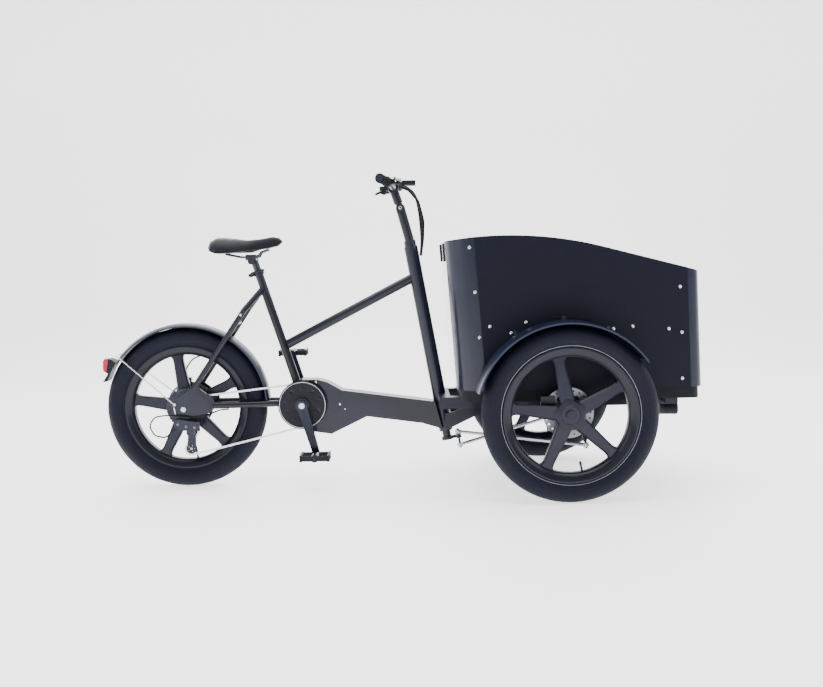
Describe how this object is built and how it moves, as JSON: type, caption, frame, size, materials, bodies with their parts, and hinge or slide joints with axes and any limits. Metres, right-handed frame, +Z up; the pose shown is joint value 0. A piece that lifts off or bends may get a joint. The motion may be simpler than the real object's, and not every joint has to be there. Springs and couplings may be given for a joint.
{
  "type": "front-loading cargo trike",
  "caption": "Electric front-loading cargo trike: two steered cast wheels beside an open box, mid motor, chain-driven rear wheel, adjustable stem and saddle.",
  "frame": {"origin": "middle of the footprint on the ground", "axes": "+X forward towards the box, +Y to the rider's left, +Z up"},
  "size_m": [1.981, 0.89, 1.0319],
  "materials": {
    "frame_paint": "satin black powder coat",
    "subframe_paint": "satin black powder coat",
    "motor_black": "satin black casting",
    "battery_case": "matt",
    "box_panel": "satin black laminate panel",
    "box_corner": "satin black extrusion",
    "box_floor": "black film-faced board",
    "tray_plastic": "matt",
    "steel_bolts": "bright",
    "fender_plastic": "satin",
    "lamp_red": "red lens",
    "lamp_black": "matt",
    "caliper_black": "black",
    "chain_steel": "bright links",
    "cassette_steel": "brushed",
    "derailleur_black": "satin",
    "crank_black": "satin anodised",
    "guard_black": "satin with a bright ring",
    "axle_steel": "bright",
    "pedal_black": "matt",
    "wheel_paint": "satin black cast wheel",
    "tyre_rubber": "matt rubber",
    "disc_steel": "brushed",
    "saddle_skin": "grained synthetic leather",
    "post_steel": "satin",
    "clamp_black": "satin",
    "bar_black": "satin",
    "grip_rubber": "matt ribbed rubber",
    "control_plastic": "matt",
    "lever_black": "satin",
    "cable_rubber": "smooth",
    "knuckle_paint": "satin",
    "tie_rod_steel": "zinc plated"
  },
  "bodies": {
    "frame": {"main_frame": "frame_paint", "front_subframe": "subframe_paint", "head_bearings": "axle_steel", "drive_unit": "motor_black", "battery_pack": "battery_case", "box_side_panels": "box_panel", "box_front_panel": "box_panel", "box_rear_panel": "box_panel", "box_corner_posts": "box_corner", "box_floor": "box_floor", "box_base_tray": "tray_plastic", "box_hardware": "steel_bolts", "front_fenders": "fender_plastic", "rear_fender": "fender_plastic", "tail_light": "lamp_red", "headlight": "lamp_black", "rear_axle": "axle_steel", "rear_caliper": "caliper_black", "frame_cables": "cable_rubber", "drive_chain": "chain_steel", "rear_derailleur_body": "derailleur_black", "derailleur_cage": "derailleur_black", "seat_collar": "clamp_black"},
    "seat": {"seat_post": "post_steel", "saddle": "saddle_skin"},
    "clamp_lever": {"seat_clamp_lever": "clamp_black"},
    "crankset": {"crank_axle": "axle_steel", "crank_arm_left": "crank_black", "crank_arm_right": "crank_black", "chainring": "crank_black", "chainring_guard": "guard_black"},
    "pedal_left": {"pedal_left": "pedal_black"},
    "pedal_right": {"pedal_right": "pedal_black"},
    "rear_wheel": {"rear_wheel": "wheel_paint", "rear_tyre": "tyre_rubber", "rear_brake_disc": "disc_steel"},
    "cassette": {"cassette": "cassette_steel"},
    "jockey_upper": {"jockey_wheel_upper": "control_plastic"},
    "jockey_lower": {"jockey_wheel_lower": "control_plastic"},
    "steering": {"steering_column": "bar_black", "pitman_arm": "knuckle_paint", "stem_riser": "bar_black", "control_cable_sleeve": "cable_rubber"},
    "handlebar": {"stem": "bar_black", "handlebar": "bar_black", "grips": "grip_rubber", "bar_controls": "control_plastic"},
    "brake_lever_left": {"brake_lever_left": "lever_black"},
    "brake_lever_right": {"brake_lever_right": "lever_black"},
    "shifter_lever": {"shifter_lever": "control_plastic"},
    "knuckle_left": {"steering_knuckle_left": "knuckle_paint"},
    "knuckle_right": {"steering_knuckle_right": "knuckle_paint"},
    "tie_rod_left": {"tie_rod_left": "tie_rod_steel"},
    "tie_rod_right": {"tie_rod_right": "tie_rod_steel"},
    "front_wheel_left": {"front_wheel_left": "wheel_paint", "front_tyre_left": "tyre_rubber", "front_brake_disc_left": "disc_steel"},
    "front_wheel_right": {"front_wheel_right": "wheel_paint", "front_tyre_right": "tyre_rubber", "front_brake_disc_right": "disc_steel"}
  },
  "joints": [
    {"name": "steering_turn", "type": "hinge", "parent": "frame", "child": "steering", "pos_m": [0.14071, 0, 0.4], "axis": [-0.1678, 0, 0.9858], "range_deg": [-13, 13]},
    {"name": "stem_angle", "type": "hinge", "parent": "steering", "child": "handlebar", "pos_m": [0.0393, 0, 0.9371], "axis": [0, 1, 0], "range_deg": [-12, 6]},
    {"name": "brake_lever_left_pull", "type": "hinge", "parent": "handlebar", "child": "brake_lever_left", "pos_m": [0.03518, 0.17962, 1.01393], "axis": [0, 0, 1], "range_deg": [0, 10], "stiffness_Nm_per_rad": 0.6, "springref_deg": -5.73},
    {"name": "brake_lever_right_pull", "type": "hinge", "parent": "handlebar", "child": "brake_lever_right", "pos_m": [0.03518, -0.17962, 1.01393], "axis": [0, 0, -1], "range_deg": [0, 10], "stiffness_Nm_per_rad": 0.6, "springref_deg": -5.73},
    {"name": "shifter_press", "type": "hinge", "parent": "handlebar", "child": "shifter_lever", "pos_m": [-0.01173, -0.15986, 0.98562], "axis": [0, 0, 1], "range_deg": [0, 20], "stiffness_Nm_per_rad": 0.3, "springref_deg": -5.73},
    {"name": "kingpin_left", "type": "hinge", "parent": "frame", "child": "knuckle_left", "pos_m": [0.55, 0.325, 0.274], "axis": [-0.1678, 0, 0.9858], "range_deg": [-13, 13]},
    {"name": "kingpin_right", "type": "hinge", "parent": "frame", "child": "knuckle_right", "pos_m": [0.55, -0.325, 0.274], "axis": [-0.1678, 0, 0.9858], "range_deg": [-13, 13]},
    {"name": "tie_rod_left_joint", "type": "hinge", "parent": "steering", "child": "tie_rod_left", "pos_m": [0.22872, 0.014, 0.118], "axis": [-0.1678, 0, 0.9858], "range_deg": [-13, 13]},
    {"name": "tie_rod_right_joint", "type": "hinge", "parent": "steering", "child": "tie_rod_right", "pos_m": [0.2202, -0.014, 0.168], "axis": [-0.1678, 0, 0.9858], "range_deg": [-13, 13]},
    {"name": "front_wheel_left_spin", "type": "hinge", "parent": "knuckle_left", "child": "front_wheel_left", "pos_m": [0.55, 0.4, 0.274], "axis": [0, 1, 0], "continuous": true},
    {"name": "front_wheel_right_spin", "type": "hinge", "parent": "knuckle_right", "child": "front_wheel_right", "pos_m": [0.55, -0.4, 0.274], "axis": [0, 1, 0], "continuous": true},
    {"name": "rear_wheel_spin", "type": "hinge", "parent": "frame", "child": "rear_wheel", "pos_m": [-0.7075, 0, 0.274], "axis": [0, 1, 0], "continuous": true},
    {"name": "crank_spin", "type": "hinge", "parent": "frame", "child": "crankset", "pos_m": [-0.3075, 0, 0.278], "axis": [0, 1, 0], "continuous": true},
    {"name": "cassette_spin", "type": "hinge", "parent": "frame", "child": "cassette", "pos_m": [-0.7075, 0, 0.274], "axis": [0, 1, 0], "continuous": true},
    {"name": "pedal_left_spin", "type": "hinge", "parent": "crankset", "child": "pedal_left", "pos_m": [-0.3532, 0, 0.44174], "axis": [0, 1, 0], "continuous": true},
    {"name": "pedal_right_spin", "type": "hinge", "parent": "crankset", "child": "pedal_right", "pos_m": [-0.2618, 0, 0.11426], "axis": [0, 1, 0], "continuous": true},
    {"name": "jockey_upper_spin", "type": "hinge", "parent": "frame", "child": "jockey_upper", "pos_m": [-0.6855, 0, 0.196], "axis": [0, 1, 0], "continuous": true},
    {"name": "jockey_lower_spin", "type": "hinge", "parent": "frame", "child": "jockey_lower", "pos_m": [-0.6885, 0, 0.1375], "axis": [0, 1, 0], "continuous": true},
    {"name": "seat_height", "type": "slide", "parent": "frame", "child": "seat", "axis": [-0.301, 0, 0.9536], "range_m": [0, 0.06]},
    {"name": "seat_clamp_swing", "type": "hinge", "parent": "frame", "child": "clamp_lever", "pos_m": [-0.47651, 0, 0.71994], "axis": [0, 1, 0], "range_deg": [-40, 0]}
  ],
  "couplings": [
    {"joint": "kingpin_left", "follows": "steering_turn", "ratio": 1},
    {"joint": "kingpin_right", "follows": "steering_turn", "ratio": 1},
    {"joint": "tie_rod_left_joint", "follows": "steering_turn", "ratio": -1},
    {"joint": "tie_rod_right_joint", "follows": "steering_turn", "ratio": -1},
    {"joint": "cassette_spin", "follows": "crank_spin", "ratio": 2.104}
  ]
}
